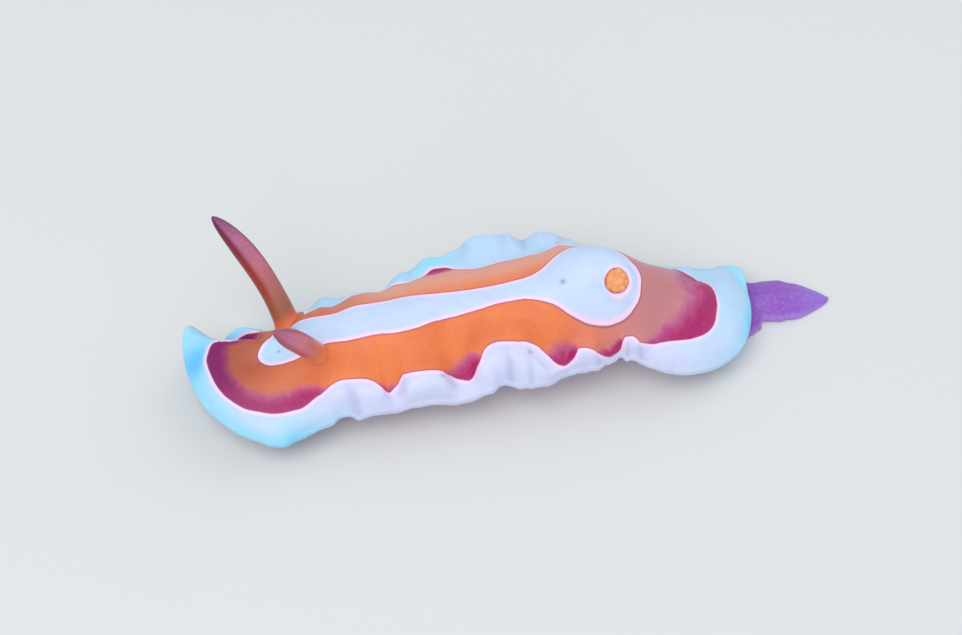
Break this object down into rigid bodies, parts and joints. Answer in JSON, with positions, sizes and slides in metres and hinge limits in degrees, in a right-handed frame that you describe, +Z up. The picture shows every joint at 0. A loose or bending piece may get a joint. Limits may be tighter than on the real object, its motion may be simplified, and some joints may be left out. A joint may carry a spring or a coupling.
{
  "type": "noumea norba nudibranch",
  "caption": "Crawling sea slug with a frilled mantle, ribbed rhinophores, gills drawn into their pocket, a narrow foot and a pointed tail.",
  "frame": {"origin": "centre of the sole under the middle of the body, on the floor", "axes": "+X towards the tail, +Y to the animal's right, +Z up"},
  "size_m": [0.0265, 0.0094, 0.0077],
  "materials": {
    "mantle": "moist soft skin, orange with a magenta line and a white frilled margin",
    "rhinophore": "moist, dark red with a purple sheen, finely ribbed",
    "gill": "moist, translucent orange",
    "head": "moist, pale pinkish orange",
    "flank": "moist, pale orange pink",
    "foot": "moist, violet, paler on the sole"
  },
  "bodies": {
    "root": {"mantle_front": "mantle", "mantle_middle": "mantle", "mantle_rear": "mantle", "rhinophore_left": "rhinophore", "rhinophore_right": "rhinophore", "gill_tuft": "gill", "head": "head", "oral_tentacle_left": "head", "oral_tentacle_right": "head", "trunk_front": "flank", "trunk_rear": "flank", "foot_front": "foot", "foot_middle": "foot", "foot_rear": "foot", "tail": "foot"}
  },
  "joints": []
}
